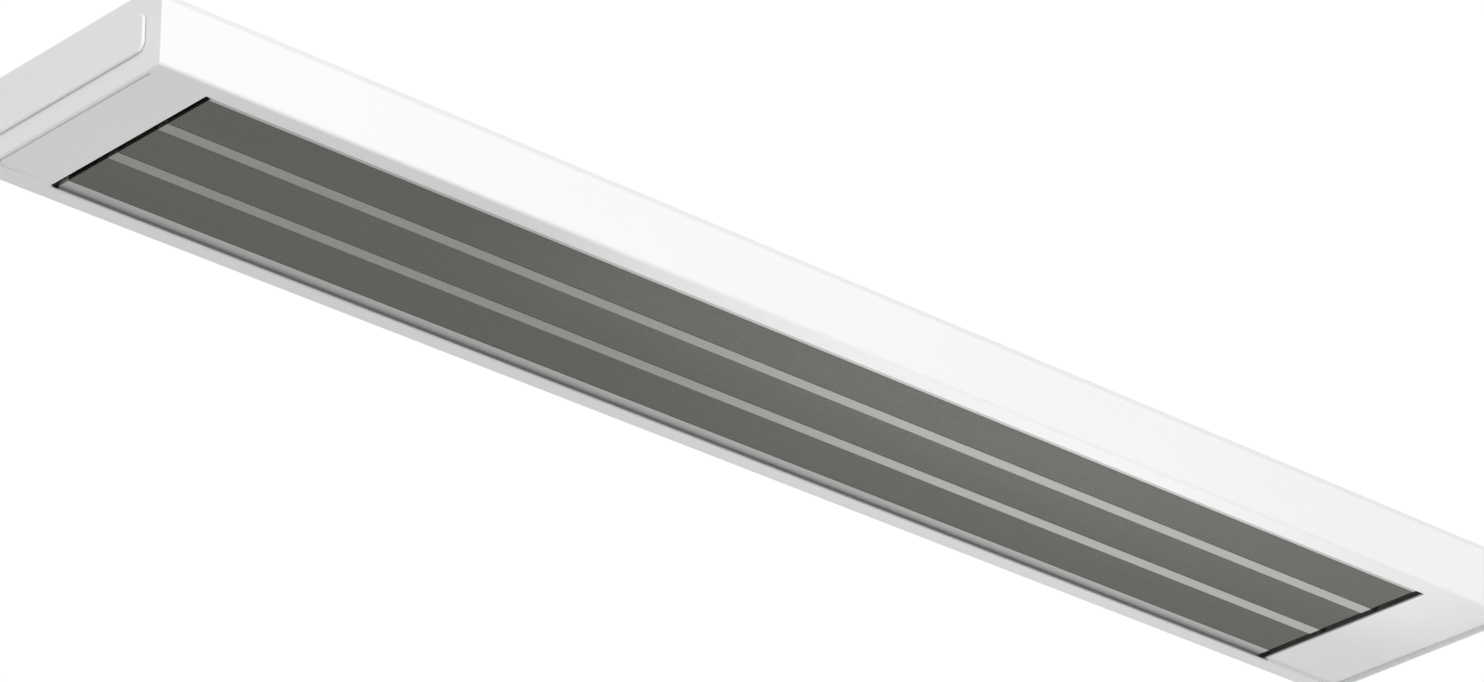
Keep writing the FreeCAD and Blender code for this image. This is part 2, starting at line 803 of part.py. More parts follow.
def ceiling_bracket(name, x, rotation):
    """A ceiling plate with four hooks and a lock tab, all lanced from the plate and bent down."""
    body = new_body(name)
    long, wide = s.bracket_length / 2, s.bracket_width / 2
    plate = rectangle(-long, long, -wide, wide, s.bracket_corner)
    extrude(body, "XY_Plane", [plate], -s.bracket_sheet, 0)
    tip = s.rail_width / 2 - s.hook_grip
    hook_low = hook_top - s.bracket_sheet
    strip = hook_inner - tip - hook_low - s.bracket_sheet
    windows = []
    for across in (-1, 1):
        for along in (-1, 1):
            centre = s.hook_offset * along
            near, far = hook_inner * across, (hook_inner - strip) * across
            low, high = (far, near) if across > 0 else (near, far)
            windows.append(rectangle(centre - s.hook_width / 2, centre + s.hook_width / 2, low, high))
    half_tab = s.tab_width / 2
    tab_low = top + s.fit_gap * 2
    windows.append(rectangle(-half_tab, half_tab, -hook_inner, -hook_inner - tab_low - s.bracket_sheet))
    extrude(body, "XY_Plane", windows, -s.bracket_sheet, 0, cut=True)
    hook = [
        (hook_inner, -s.bracket_sheet),
        (hook_inner, hook_top),
        (tip, hook_top),
        (tip, hook_low),
        (hook_outer, hook_low, s.bracket_sheet),
        (hook_outer, -s.bracket_sheet),
    ]
    for along in (-1, 1):
        start = s.hook_offset * along - s.hook_width / 2
        extrude(body, "YZ_Plane", [hook, mirrored(hook)], start, start + s.hook_width)
    tab = rectangle(-hook_outer, -hook_inner, tab_low, -s.bracket_sheet)
    extrude(body, "YZ_Plane", [tab], -half_tab, half_tab)
    thread = circle(0, lock_level, s.lock_diameter + s.fit_gap)
    extrude(body, "XZ_Plane", [thread], -hook_outer, -hook_inner, cut=True)
    holes = [circle(0, s.bracket_hole_pitch / 2 * across, s.bracket_hole) for across in (-1, 1)]
    extrude(body, "XY_Plane", holes, -s.bracket_sheet, 0, cut=True)
    place(body, x, rotation=rotation)


def lock_screw(name, x, rotation):
    tip = s.rail_base / 2 + s.fit_gap
    shank_long = hook_outer - tip
    head_start = -hook_outer - s.lock_head_height
    shank = rod(f"{name}_shank", s.lock_diameter, shank_long, 0, -hook_outer, lock_level, ALONG_Y)
    head = rod(f"{name}_head", s.lock_head, s.lock_head_height, 0, head_start, lock_level, ALONG_Y)
    screw = join(name, [shank, head])
    place(screw, x, rotation=rotation)
    finish(name, screw)


casing_shell()
end_wall("left_end_wall", HALF_TURN)
end_wall("right_end_wall", FreeCAD.Rotation())
end_cover("left_end_cover", HALF_TURN)
end_cover("right_end_cover", FreeCAD.Rotation())
front_plate("left_front_plate", s.plate_gap - shell_end, opening_left)
front_plate("right_front_plate", opening_right, shell_end - s.plate_gap)
end_wall_screws()
radiant_panel()
heating_element()
element_ends()
for hanger in range(HANGERS):
    panel_hanger(hanger)
reflector_sheet()
insulation_mat()
left_baffle()
right_bulkhead()
terminal_block()
terminal_block_screws()
earth_set()
lead("live_lead", pin_end, -leg_side)
lead("neutral_lead", pin_end, leg_side)
lead("earth_lead", bulkhead_face + s.lug_sheet + s.barrel_length, as_size(0))
cable_grommet()
suspension_rail()
ceiling_bracket("left_ceiling_bracket", -bracket_at, FreeCAD.Rotation())
ceiling_bracket("right_ceiling_bracket", bracket_at, HALF_TURN)
lock_screw("left_lock_screw", -bracket_at, FreeCAD.Rotation())
lock_screw("right_lock_screw", bracket_at, HALF_TURN)

doc.recompute()
failed = [item.Label for item in doc.Objects if {"Invalid", "Error"} & set(item.State)]
failed += [item.Label for item in pieces if item.Shape.isNull() or not item.Shape.isValid()]
if failed:
    raise RuntimeError("these did not build: " + ", ".join(failed))

os.makedirs("parts", exist_ok=True)
for piece in pieces:
    piece.Shape.exportStep(f"parts/{piece.Label}.step")
print(len(pieces), "pieces,", sum(len(piece.Shape.Solids) for piece in pieces), "solids")
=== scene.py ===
# %% [markdown]
# # A radiant strip heater, dressed for its portrait
#
# The solids of the heater are already exact: casing, end walls, panel, rail and brackets. This
# lesson loads them as a fixed frame and adds what solids lack: finishes, screw drives, fine ribs,
# weld marks and a soft studio. Lengths are metres, X runs along the heater, Z is up.

# %% Load the frame
import json
import math

import bmesh
import bpy
from mathutils import Matrix, Quaternion, Vector, noise


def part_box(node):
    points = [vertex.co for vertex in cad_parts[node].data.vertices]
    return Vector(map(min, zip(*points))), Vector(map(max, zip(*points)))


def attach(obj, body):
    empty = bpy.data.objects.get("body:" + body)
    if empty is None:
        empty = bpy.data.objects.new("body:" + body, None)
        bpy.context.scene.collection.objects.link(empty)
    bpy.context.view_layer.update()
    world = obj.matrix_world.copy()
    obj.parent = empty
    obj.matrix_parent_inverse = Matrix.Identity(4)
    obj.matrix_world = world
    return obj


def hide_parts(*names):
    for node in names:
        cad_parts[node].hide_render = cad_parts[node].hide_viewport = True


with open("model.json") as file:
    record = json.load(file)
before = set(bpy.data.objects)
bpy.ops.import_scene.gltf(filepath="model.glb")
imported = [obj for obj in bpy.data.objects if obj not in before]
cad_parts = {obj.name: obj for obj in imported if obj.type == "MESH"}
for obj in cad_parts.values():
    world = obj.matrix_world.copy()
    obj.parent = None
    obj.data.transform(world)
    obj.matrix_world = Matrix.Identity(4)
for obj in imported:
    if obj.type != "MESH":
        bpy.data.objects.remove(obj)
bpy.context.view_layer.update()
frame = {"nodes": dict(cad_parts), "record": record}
nodes = frame["nodes"]
print("pieces in the frame:", len(nodes))

# %% [markdown]
# ## The camera
#
# The heater hangs, and it is seen from below and from its near left end with a long lens. The
# eight corners of the casing and of its opening, found in the picture, fix the place, the
# direction and the lens together, so the view is set from numbers and not by eye.

# %% Camera
EYE = Vector((-2.0600, -2.1616, -1.4921))
HEADING = math.radians(42.982)
CLIMB = math.radians(26.353)
ROLL = math.radians(-0.417)
FOCAL_PIXELS = 6132
PICTURE_WIDTH = 1484
SENSOR = 36.0

scene = bpy.context.scene
lens = bpy.data.cameras.new("portrait_camera")
lens.sensor_width = SENSOR
lens.lens = FOCAL_PIXELS / PICTURE_WIDTH * SENSOR
camera = bpy.data.objects.new("portrait_camera", lens)
scene.collection.objects.link(camera)
ahead = Vector((
    math.sin(HEADING) * math.cos(CLIMB),
    math.cos(HEADING) * math.cos(CLIMB),
    math.sin(CLIMB),
))
camera.location = EYE
camera.rotation_mode = "QUATERNION"
camera.rotation_quaternion = ahead.to_track_quat("-Z", "Y") @ Quaternion((0, 0, 1), ROLL)
scene.camera = camera
print(f"lens {lens.lens:.1f} mm, {EYE.length:.2f} m from the ceiling point")

# %% [markdown]
# ## Expressions that write nodes
#
# A finish is a formula over the surface, and so is a repeated shape. Both are written here as
# plain arithmetic: a wire wraps one output socket, and each operator on it adds one Math node.
# The same two classes serve shader trees and geometry trees.

# %% Wires and graphs
class Wire:
    """One output socket that takes part in arithmetic."""

    def __init__(self, graph, socket):
        self.graph = graph
        self.socket = socket

    def math(self, operation, first, second=0.0):
        return self.graph.add("ShaderNodeMath", {"operation": operation}, {0: first, 1: second})

    def __add__(self, other):
        return self.math("ADD", self, other)

    def __sub__(self, other):
        return self.math("SUBTRACT", self, other)

    def __rsub__(self, other):
        return self.math("SUBTRACT", other, self)

    def __mul__(self, other):
        return self.math("MULTIPLY", self, other)

    def __truediv__(self, other):
        return self.math("DIVIDE", self, other)

    def __lt__(self, other):
        return self.math("LESS_THAN", self, other)

    def __gt__(self, other):
        return self.math("GREATER_THAN", self, other)

    def __abs__(self):
        return self.math("ABSOLUTE", self)

    def fraction(self):
        return self.math("FRACT", self)

    def cosine(self):
        return self.math("COSINE", self)

    def root(self):
        return self.math("SQRT", self)

    def limited(self):
        """The same value, held between 0 and 1."""
        return self.graph.add("ShaderNodeClamp", None, {0: self})

    __radd__ = __add__
    __rmul__ = __mul__


class Graph:
    """A node tree that is filled by formulas."""

    def __init__(self, tree):
        self.tree = tree

    def feed(self, socket, value):
        if isinstance(value, list):
            for wire in value:
                self.tree.links.new(wire.socket, socket)
        elif isinstance(value, Wire):
            self.tree.links.new(value.socket, socket)
        else:
            socket.default_value = value

    def add(self, kind, settings=None, inputs=None, output=0):
        node = self.tree.nodes.new(kind)
        for name, value in (settings or {}).items():
            setattr(node, name, value)
        for key, value in (inputs or {}).items():
            self.feed(node.inputs[key], value)
        return Wire(self, node.outputs[output])

    def split(self, vector):
        """The three coordinates of a vector."""
        cut = self.add("ShaderNodeSeparateXYZ", None, {0: vector})
        return [Wire(self, socket) for socket in cut.socket.node.outputs]


# %% [markdown]
# ## What a finish is made of
#
# A finish is one surface shader with a few patterns in front of it: noise, streaks and grains.
# They are laid over the coordinates of the piece itself, so they stay on the metal when it moves.

# %% Finishes
class Finish(Graph):
    """A material with one surface shader. Constants go on the shader's own sockets."""

    MIX_FACTOR, MIX_LOW, MIX_HIGH, MIX_RESULT = 0, 6, 7, 2

    def __init__(self, name, **constants):
        self.material = bpy.data.materials.new(name)
        self.material.use_nodes = True
        super().__init__(self.material.node_tree)
        self.shader = self.tree.nodes["Principled BSDF"]
        for key, value in constants.items():
            self.shader.inputs[key.replace("_", " ")].default_value = value
        self.place = self.add("ShaderNodeTexCoord", output="Object")

    def stretched(self, stretch):
        return self.add("ShaderNodeMapping", None, {"Vector": self.place, "Scale": stretch})

    def noise(self, scale, detail=2.0, where=None):
        inputs = {"Vector": where or self.place, "Scale": scale, "Detail": detail}
        return self.add("ShaderNodeTexNoise", None, inputs)

    def streaks(self, stretch, detail=3.0):
        """A noise drawn out by its three scales, in waves per metre along X, Y and Z."""
        return self.noise(1.0, detail, self.stretched(stretch))

    def grains(self, scale, stretch):
        """Crystal grains: each cell has one random value."""
        inputs = {"Vector": self.stretched(stretch), "Scale": scale}
        colour = self.add("ShaderNodeTexVoronoi", None, inputs, "Color")
        return self.add("ShaderNodeSeparateColor", None, {0: colour})

    def blend(self, amount, low, high):
        """A colour between two colours or colour wires."""
        ends = {self.MIX_FACTOR: amount, self.MIX_LOW: low, self.MIX_HIGH: high}
        for key in (self.MIX_LOW, self.MIX_HIGH):
            if not isinstance(ends[key], Wire):
                ends[key] = (*ends[key], 1.0)
        return self.add("ShaderNodeMix", {"data_type": "RGBA"}, ends, self.MIX_RESULT)

    def relief(self, height, depth, strength):
        """A bump of that depth, which only the shading shows."""
        inputs = {"Height": height, "Distance": depth, "Strength": strength}
        return self.add("ShaderNodeBump", None, inputs)

    def surface(self, **sockets):
        for key, value in sockets.items():
            self.feed(self.shader.inputs[key.replace("_", " ")], value)
        return self.material


# %% [markdown]
# ## White powder coat
#
# Powder coat melts into a skin with a very fine orange peel, and the big flat sheets are never
# quite even in tone. A fine noise drives the relief, and slower ones drive tone and gloss by a
# few per cent. More would look dirty on a new heater.

# %% White coat
def white_coat():
    coat = Finish("white_powder_coat", Specular_IOR_Level=0.5)
    slow = coat.noise(scale=6.0, detail=3.0)
    cloud = coat.noise(scale=45.0)
    peel = coat.noise(scale=950.0)
    return coat.surface(
        Base_Color=coat.blend(slow, (0.815, 0.832, 0.825), (0.855, 0.870, 0.862)),
        Roughness=0.36 + cloud * 0.12,
        Normal=coat.relief(peel, depth=0.00012, strength=0.35),
    )


WHITE = white_coat()
print("finish:", WHITE.name)

# %% [markdown]
# ## The radiant panel's surfaces
#
# The panel is one aluminium extrusion. Its three fields are dark and finely ribbed lengthwise, so
# that they give off heat well, and the four lands beside them are smooth and lighter. The two
# outer lands, next to the edge ribs, are duller than the inner ones, and their colour is painted
# paler to lift the shade that falls on them beside the rims. The panel's own faces are told apart
# by their distance from its middle and from the nearest field's middle.

# %% Panel surfaces
LAND_WIDTH = 0.0079
EDGE_RIB = 0.0015
EDGE_DROP = 0.002
STEP_MARGIN = 0.00005
panel_low, panel_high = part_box("radiant_panel")
RIB_SIDE = panel_high.y - EDGE_RIB
FIELD_WIDTH = (2 * RIB_SIDE - 4 * LAND_WIDTH) / 3
FIELD_PITCH = FIELD_WIDTH + LAND_WIDTH
OUTER_LAND = FIELD_PITCH * 1.5


def dark_field_colours(finish):
    """Dark anodised metal with faint drawing streaks along the extrusion."""
    streak = finish.streaks((4.0, 900.0, 900.0), detail=4.0)
    speck = finish.noise(scale=1500.0)
    patch = finish.noise(scale=5.0)
    base = finish.blend(streak, (0.112, 0.110, 0.101), (0.164, 0.157, 0.143))
    base = finish.blend(speck * 0.5, base, (0.181, 0.174, 0.160))
    base = finish.blend(patch * 0.25, base, (0.100, 0.103, 0.096))
    return base, streak, speck


def field_finish():
    finish = Finish("dark_radiant_field", Specular_IOR_Level=0.4)
    base, streak, speck = dark_field_colours(finish)
    return finish.surface(
        Base_Color=base,
        Metallic=0.10 + streak * 0.10,
        Roughness=0.44 + speck * 0.12,
        Normal=finish.relief(speck, depth=0.00004, strength=0.5),
    )


def panel_finish():
    finish = Finish("panel_extrusion", Specular_IOR_Level=0.5)
    dark = dark_field_colours(finish)[0]
    y = finish.split(finish.place)[1]
    aside = abs((y / FIELD_PITCH + 0.5).fraction() - 0.5) * FIELD_PITCH
    in_field = (aside < FIELD_WIDTH / 2 - STEP_MARGIN) * (abs(y) < OUTER_LAND)
    at_edge = (abs(y) > OUTER_LAND - LAND_WIDTH / 2) * (abs(y) < RIB_SIDE - STEP_MARGIN)
    drawn = finish.streaks((3.0, 1600.0, 1600.0))
    land = finish.blend(drawn, (0.346, 0.346, 0.338), (0.411, 0.409, 0.400))
    # The outer lands' paler colour is painted light: it lifts the shade that falls on them beside the
    # rims.
    land = finish.blend(at_edge, land, (0.530, 0.532, 0.524))
    return finish.surface(
        Base_Color=finish.blend(in_field, land, dark),
        Metallic=0.85 - at_edge * 0.62,
        Roughness=0.29 + drawn * 0.08 + at_edge * 0.25,
        Normal=finish.relief(drawn, depth=0.00003, strength=0.4),
    )


FIELD = field_finish()
PANEL = panel_finish()
print(f"fields {FIELD_WIDTH * 1000:.2f} mm wide, {FIELD_PITCH * 1000:.2f} mm apart")

# %% [markdown]
# ## Metals
#
# Zinc-plated steel shows grains that catch the light at different angles, so cells vary tone and
# gloss. The element's sheath is tinted by heat. The reflector is bright rolled aluminium, and the
# partitions beside the hot space are duller.

# %% Metals
def zinc_steel():
    zinc = Finish("zinc_plated_steel", Metallic=1.0)
    grain = zinc.grains(scale=170.0, stretch=(1.0, 1.0, 0.6))
    brush = zinc.streaks((30.0, 1200.0, 1200.0))
    stain = zinc.noise(scale=14.0, detail=3.0)
    tone = zinc.blend(grain, (0.53, 0.54, 0.55), (0.66, 0.665, 0.67))
    return zinc.surface(
        Base_Color=zinc.blend(stain * 0.35, tone, (0.50, 0.50, 0.49)),
        Roughness=0.30 + grain * 0.12 + stain * 0.10,
        Normal=zinc.relief(brush, depth=0.00003, strength=0.3),
    )


def heat_tinted_sheath():
    sheath = Finish("heat_tinted_sheath", Metallic=0.9)
    cloud = sheath.noise(scale=35.0, detail=4.0)
    return sheath.surface(
        Base_Color=sheath.blend(cloud, (0.125, 0.118, 0.110), (0.210, 0.190, 0.170)),
        Roughness=0.42 + cloud * 0.2,
    )


def bright_aluminium():
    foil = Finish("bright_rolled_aluminium", Metallic=1.0)
    roll = foil.streaks((8.0, 700.0, 700.0))
    return foil.surface(
        Base_Color=foil.blend(roll, (0.76, 0.765, 0.77), (0.84, 0.84, 0.84)),
        Roughness=0.22 + roll * 0.12,
        Normal=foil.relief(roll, depth=0.00004, strength=0.4),
    )


def turned_brass():
    brass = Finish("plain_brass", Metallic=1.0)
    cloud = brass.noise(scale=160.0, detail=3.0)
    return brass.surface(
        Base_Color=brass.blend(cloud, (0.55, 0.42, 0.20), (0.74, 0.60, 0.32)),
        Roughness=0.26 + cloud * 0.15,
    )


def dull_aluminised_steel():
    baffle = Finish("dull_aluminised_steel", Metallic=0.8)
    cloud = baffle.noise(scale=40.0, detail=4.0)
    grit = baffle.noise(scale=1200.0)
    return baffle.surface(
        Base_Color=baffle.blend(cloud, (0.34, 0.34, 0.33), (0.46, 0.46, 0.45)),
        Roughness=0.48 + cloud * 0.2,
        Normal=baffle.relief(grit, depth=0.00005, strength=0.4),
    )


ZINC = zinc_steel()
SHEATH = heat_tinted_sheath()
FOIL = bright_aluminium()
BRASS = turned_brass()
BAFFLE = dull_aluminised_steel()
print("metals:", ", ".join(metal.name for metal in (ZINC, SHEATH, FOIL, BRASS, BAFFLE)))

# %% [markdown]
# ## Finishes out of the light
#
# Ceramic, wool and lead insulation sit inside, and show only where an end cover is pulled off. The
# rubber grommet is on the back. Each still has a grain of its own.

# %% Ceramic, wool, rubber and lead insulation
STRIPE_PITCH = 0.006
STRIPE_SHARE = 0.42
STRIPE_SLANT = 2.0


def steatite():
    ceramic = Finish("steatite_ceramic", Specular_IOR_Level=0.45)
    speck = ceramic.noise(scale=900.0, detail=3.0)
    return ceramic.surface(
        Base_Color=ceramic.blend(speck, (0.74, 0.71, 0.63), (0.86, 0.83, 0.76)),
        Roughness=0.45 + speck * 0.2,
        Normal=ceramic.relief(speck, depth=0.00005, strength=0.4),
    )


def mineral_wool():
    wool = Finish("mineral_wool", Specular_IOR_Level=0.1)
    fibre = wool.streaks((260.0, 90.0, 420.0), detail=5.0)
    layer = wool.streaks((40.0, 40.0, 900.0), detail=4.0)
    tone = wool.blend(fibre, (0.40, 0.34, 0.17), (0.66, 0.60, 0.38))
    return wool.surface(
        Base_Color=wool.blend(layer * 0.4, tone, (0.35, 0.29, 0.14)),
        Roughness=0.86 + layer * 0.1,
        Normal=wool.relief(fibre, depth=0.0008, strength=0.8),
    )


def soft_skin(name, dark, light, roughness):
    """Rubber or silicone: a dull skin with a faint bloom."""
    skin = Finish(name, Specular_IOR_Level=0.35)
    bloom = skin.noise(scale=120.0, detail=3.0)
    fine = skin.noise(scale=2200.0)
    return skin.surface(
        Base_Color=skin.blend(bloom, dark, light),
        Roughness=roughness + bloom * 0.15,
        Normal=skin.relief(fine, depth=0.00003, strength=0.4),
    )


def earth_insulation():
    """Green with yellow stripes that wind round the lead."""
    skin = Finish("green_insulation", Specular_IOR_Level=0.35)
    x, y, z = skin.split(skin.place)
    bloom = skin.noise(scale=120.0, detail=3.0)
    stripe = ((x + z + y * STRIPE_SLANT) / STRIPE_PITCH).fraction() < STRIPE_SHARE
    return skin.surface(
        Base_Color=skin.blend(stripe, (0.04, 0.22, 0.05), (0.62, 0.50, 0.04)),
        Roughness=0.42 + bloom * 0.15,
    )


CERAMIC = steatite()
WOOL = mineral_wool()
RUBBER = soft_skin("black_rubber", (0.012, 0.012, 0.012), (0.030, 0.030, 0.030), roughness=0.55)
BROWN = soft_skin("brown_insulation", (0.11, 0.045, 0.018), (0.16, 0.07, 0.03), roughness=0.42)
BLUE = soft_skin("blue_insulation", (0.015, 0.07, 0.26), (0.03, 0.11, 0.34), roughness=0.42)
GREEN = earth_insulation()

# %% [markdown]
# ## Which piece takes which finish
#
# The record already says which material slot each piece uses, so the finishes are hung on those
# slots and each solid is dressed by looking up its own.

# %% Dress the solids
FINISHES = {
    "white_coat": WHITE,
    "panel_aluminium": PANEL,
    "bright_aluminium": FOIL,
    "element_sheath": SHEATH,
    "zinc_steel": ZINC,
    "baffle_steel": BAFFLE,
    "terminal_metal": BRASS,
    "ceramic": CERAMIC,
    "mineral_wool": WOOL,
    "brown_insulation": BROWN,
    "blue_insulation": BLUE,
    "green_insulation": GREEN,
    "black_rubber": RUBBER,
}
for part in frame["record"]["subparts"]:
    for material_slot in nodes[part["node"]].material_slots:
        material_slot.material = FINISHES[part["material_slot"]]
print("finishes on the solids:", len(FINISHES))

# %% [markdown]
# ## Shapes that repeat
#
# Ribs, screws and weld marks are one shape many times. Each gets a small geometry tree with named
# sizes. The tree is run once on a few points that mark the places, and its result is kept as a
# plain mesh that rides on one body. An array of copies would do too, but the tree keeps the sizes
# in one place.

# %% Geometry recipes
def new_piece(name, mesh):
    mesh.name = name
    piece = bpy.data.objects.new(name, mesh)
    scene.collection.objects.link(piece)
    print(f"{name}: {len(mesh.polygons)} faces")
    return piece


def belongs(piece, body, slot, *stands_for):
    """The body a piece rides on and the solids it stands for. The slot of its finish is not used."""
    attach(piece, body)
    if stands_for:
        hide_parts(*stands_for)


class Recipe(Graph):
    """A geometry tree with named inputs. It starts from points and ends in one plain mesh."""

    KINDS = {int: "NodeSocketInt", float: "NodeSocketFloat", tuple: "NodeSocketVector"}

    def __init__(self, name, **sizes):
        super().__init__(bpy.data.node_groups.new(name, "GeometryNodeTree"))
        face = self.tree.interface
        face.new_socket("Places", in_out="INPUT", socket_type="NodeSocketGeometry")
        face.new_socket("Shape", in_out="OUTPUT", socket_type="NodeSocketGeometry")
        self.keys = {}
        self.sizes = sizes
        for label, value in sizes.items():
            socket = face.new_socket(label, in_out="INPUT", socket_type=self.KINDS[type(value)])
            self.keys[label] = socket.identifier
        socket = face.new_socket("finish", in_out="INPUT", socket_type="NodeSocketMaterial")
        self.keys["finish"] = socket.identifier
        self.inlet = self.tree.nodes.new("NodeGroupInput")

    def size(self, label):
        return Wire(self, self.inlet.outputs[label])

    def vector(self, x=0.0, y=0.0, z=0.0):
        return self.add("ShaderNodeCombineXYZ", None, {0: x, 1: y, 2: z})

    def position(self):
        return self.split(self.add("GeometryNodeInputPosition"))

    def drum(self, fill, **inputs):
        """A round drum. An underscore in an input's name stands for a space."""
        named = {key.replace("_", " "): value for key, value in inputs.items()}
        return self.add("GeometryNodeMeshCylinder", {"fill_type": fill}, named)

    def moved(self, shape, **targets):
        return self.add("GeometryNodeSetPosition", None, {"Geometry": shape, **targets})

    def raised(self, shape, height):
        inputs = {"Geometry": shape, "Translation": self.vector(z=height)}
        return self.add("GeometryNodeTransform", None, inputs)

    def joined(self, shapes):
        return self.add("GeometryNodeJoinGeometry", None, {0: shapes})

    def repeat(self, shape, turn=None):
        """Puts the shape on every place, then makes it plain and dresses it."""
        inputs = {"Points": self.size("Places"), "Instance": shape}
        if turn:
            inputs["Rotation"] = turn
        copies = self.add("GeometryNodeInstanceOnPoints", None, inputs)
        plain = self.add("GeometryNodeRealizeInstances", None, {0: copies})
        inputs = {"Geometry": plain, "Material": self.size("finish")}
        dressed = self.add("GeometryNodeSetMaterial", None, inputs)
        outlet = self.tree.nodes.new("NodeGroupOutput")
        self.feed(outlet.inputs["Shape"], dressed)

    def make(self, name, places, finish, **sizes):
        """Runs the tree on the places, with these sizes instead of its own."""
        marks = bpy.data.meshes.new(name + "_places")
        marks.from_pydata(places, [], [])
        maker = bpy.data.objects.new(name + "_maker", marks)
        scene.collection.objects.link(maker)
        modifier = maker.modifiers.new(name, "NODES")
        modifier.node_group = self.tree
        for label, value in {**self.sizes, **sizes, "finish": finish}.items():
            modifier[self.keys[label]] = value
        result = maker.evaluated_get(bpy.context.evaluated_depsgraph_get())
        mesh = bpy.data.meshes.new_from_object(result)
        bpy.data.objects.remove(maker)
        return new_piece(name, mesh)


# %% [markdown]
# ## Ribs on the radiant fields
#
# Seen close, each dark field is not flat: fine ribs run its whole length and enlarge the surface
# that radiates. A grid with one row of points for every bend of the wave is pushed into ribs, and
# a backing inside the panel closes it. A relief in the finish alone would vanish in the exported
# mesh.

# %% Ribbed fields
FIELD_DEPTH = 0.0003
FIELD_END_GAP = 0.0002
FIELD_SIDE_GAP = 0.00005
BENDS_PER_RIB = 6
SAME_POINT = 0.000001


def ribbed_field():
    recipe = Recipe(
        "ribbed_field", length=0.88, width=FIELD_WIDTH, ribs=24, rib_height=0.00024, backing=0.0004
    )
    sheet = recipe.add("GeometryNodeMeshGrid", None, {
        "Size X": recipe.size("length"),
        "Size Y": recipe.size("width"),
        "Vertices X": 2,
        "Vertices Y": recipe.size("ribs") * BENDS_PER_RIB + 1,
    })
    y = recipe.position()[1]
    phase = y / recipe.size("width") * recipe.size("ribs") * math.tau
    swell = (1.0 - phase.cosine()) * recipe.size("rib_height") * -0.5
    wavy = recipe.moved(sheet, Offset=recipe.vector(z=swell))
    back = recipe.add("GeometryNodeExtrudeMesh", {"mode": "FACES"}, {
        "Mesh": wavy,
        "Offset": recipe.vector(z=1.0),
        "Offset Scale": recipe.size("backing"),
        "Individual": False,
    })
    front = recipe.add("GeometryNodeFlipFaces", None, {0: wavy})
    closed = recipe.add("GeometryNodeMergeByDistance", None, {
        "Geometry": recipe.joined([back, front]), "Distance": SAME_POINT,
    })
    recipe.repeat(closed)
    return recipe


field_centre = (panel_low.x + panel_high.x) / 2
field_level = panel_low.z + EDGE_DROP + FIELD_DEPTH
fields = ribbed_field().make(
    "radiant_field_ribs",
    [(field_centre, across * FIELD_PITCH, field_level) for across in (-1, 0, 1)],
    FIELD,
    length=panel_high.x - panel_low.x - 2 * FIELD_END_GAP,
    width=FIELD_WIDTH - 2 * FIELD_SIDE_GAP,
)
belongs(fields, "heater", "panel_aluminium")

# %% [markdown]
# ## Screws with a cross recess
#
# The solids give each screw its head and shank, but a screw is known by its drive. One recipe
# rounds the head, cuts the cross and adds the shank. The cross is sized by shares of the head.

# %% Screw recipe
DOME_SHRINK = 0.28
CROSS_LENGTH = 0.58
CROSS_WIDTH = 0.13
CROSS_CENTRE = 0.95


def cross_screw():
    recipe = Recipe(
        "cross_screw", head=0.0076, height=0.0022, shank=0.0035, reach=0.0024, turn=(0.0, 0.0, 0.0)
    )
    head, height, reach = recipe.size("head"), recipe.size("height"), recipe.size("reach")
    drum = recipe.drum("NGON", Vertices=32, Side_Segments=6, Radius=head / 2, Depth=height)
    x, y, z = recipe.position()
    rise = z / height + 0.5
    shrink = 1.0 - rise * rise * rise * DOME_SHRINK
    dome = recipe.moved(drum, Position=recipe.vector(x * shrink, y * shrink, z + height / 2))
    wide, narrow = head * CROSS_LENGTH, head * CROSS_WIDTH
    for size in (recipe.vector(wide, narrow, height), recipe.vector(narrow, wide, height)):
        bar = recipe.add("GeometryNodeMeshCube", None, {"Size": size})
        bar = recipe.raised(bar, height * CROSS_CENTRE)
        cut = {"operation": "DIFFERENCE", "solver": "EXACT"}
        dome = recipe.add("GeometryNodeMeshBoolean", cut, {"Mesh 1": dome, "Mesh 2": bar})
    shank = recipe.drum("NGON", Vertices=24, Radius=recipe.size("shank") / 2, Depth=reach)
    shank = recipe.raised(shank, reach / -2)
    recipe.repeat(recipe.joined([dome, shank]), recipe.size("turn"))
    return recipe


CROSS_SCREW = cross_screw()

# %% [markdown]
# ## Screws in their places
#
# The recipe serves the screws of the end walls, the two lock screws of the brackets and the screws
# of the terminal block, each with its own sizes. The place and the reach of a screw come from the
# box of the solid that it stands for.

# %% Screws
END_HEAD, END_HEIGHT, END_SHANK = 0.0076, 0.0022, 0.0035
LOCK_HEAD, LOCK_HEIGHT, LOCK_SHANK = 0.0056, 0.0024, 0.003
BLOCK_HEAD, BLOCK_HEIGHT, BLOCK_SHANK = 0.006, 0.002, 0.0032

low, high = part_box("end_wall_screws")
screw_base = high.z - END_HEIGHT
end_places = [
    (along * (high.x - END_HEAD / 2), across * (high.y - END_HEAD / 2), screw_base)
    for along in (-1, 1) for across in (-1, 1)
]
end_screws = CROSS_SCREW.make(
    "end_wall_screw_set", end_places, ZINC,
    head=END_HEAD, height=END_HEIGHT, shank=END_SHANK, reach=screw_base - low.z,
)
belongs(end_screws, "heater", "zinc_steel", "end_wall_screws")

for side, outward in (("left", -1), ("right", 1)):
    low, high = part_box(f"{side}_lock_screw")
    outer, inner = (low.y, high.y) if outward < 0 else (high.y, low.y)
    lock_base = outer - outward * LOCK_HEIGHT
    lock_screw = CROSS_SCREW.make(
        f"{side}_lock_screw_cross", [((low.x + high.x) / 2, lock_base, (low.z + high.z) / 2)], ZINC,
        head=LOCK_HEAD, height=LOCK_HEIGHT, shank=LOCK_SHANK, reach=abs(lock_base - inner),
        turn=(-outward * math.pi / 2, 0.0, 0.0),
    )
    belongs(lock_screw, f"{side}_bracket", "zinc_steel", f"{side}_lock_screw")

